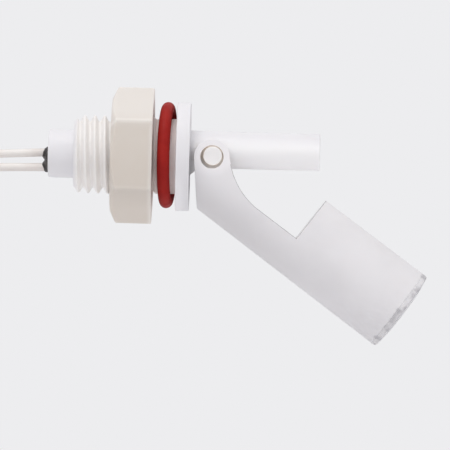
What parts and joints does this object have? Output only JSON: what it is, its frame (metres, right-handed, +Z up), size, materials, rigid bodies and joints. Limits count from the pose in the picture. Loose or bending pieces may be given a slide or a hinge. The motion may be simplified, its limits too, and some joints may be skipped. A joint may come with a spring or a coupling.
{
  "type": "side mounted float level switch",
  "caption": "Side mounted float level switch: threaded body with flange, lock nut and seal ring, reed stem, hinged cylindrical float and two white leads.",
  "frame": {"origin": "centre of the flange's sealing face, on the thread axis, where the switch seats against a tank wall", "axes": "+X along the thread axis into the tank, towards the stem and float; +Z up; the hinge axis lies along Y; the leads leave towards -X"},
  "size_m": [0.113, 0.024, 0.0634],
  "materials": {
    "body_moulding": "satin white moulded polypropylene",
    "nut_moulding": "natural ivory nylon, slightly translucent",
    "seal_rubber": "matt red silicone rubber",
    "float_moulding": "satin white moulded polypropylene",
    "cap_moulding": "white polypropylene with a rough welded edge",
    "magnet_ferrite": "dark grey ferrite",
    "reed_tube": "clear sealed glass",
    "reed_metal": "plated nickel-iron",
    "sleeve_plastic": "pale insulating sleeve",
    "shrink_plastic": "black shrunk sleeve",
    "solder": "dull tin solder",
    "tinned_strand": "tinned copper strands",
    "potting_resin": "black cast resin",
    "lead_jacket": "smooth white wire insulation",
    "tie_plastic": "plain white nylon band"
  },
  "bodies": {
    "switch_body": {"switch_body": "body_moulding", "seal_ring": "seal_rubber", "reed_glass": "reed_tube", "reed_blade_rear": "reed_metal", "reed_blade_front": "reed_metal", "return_sleeve": "sleeve_plastic", "solder_joint_upper": "solder", "solder_joint_lower": "solder", "joint_sleeve_upper": "shrink_plastic", "joint_sleeve_lower": "shrink_plastic", "lead_core_upper": "tinned_strand", "lead_core_lower": "tinned_strand", "potting": "potting_resin", "lead_wire_upper": "lead_jacket", "lead_wire_lower": "lead_jacket", "lead_coil": "lead_jacket", "coil_tie": "tie_plastic", "lead_tail_upper": "lead_jacket", "lead_tail_lower": "lead_jacket", "tinned_end_upper": "tinned_strand", "tinned_end_lower": "tinned_strand"},
    "lock_nut": {"lock_nut": "nut_moulding"},
    "float": {"float_shell": "float_moulding", "float_end_cap": "cap_moulding", "float_magnet": "magnet_ferrite"}
  },
  "joints": [
    {"name": "float_hinge", "type": "hinge", "parent": "switch_body", "child": "float", "pos_m": [0.0074, 0, 0.0002], "axis": [0, -1, 0], "range_deg": [0, 35.7]},
    {"name": "nut_travel", "type": "slide", "parent": "switch_body", "child": "lock_nut", "axis": [-1, 0, 0], "range_m": [0, 0.008]}
  ]
}
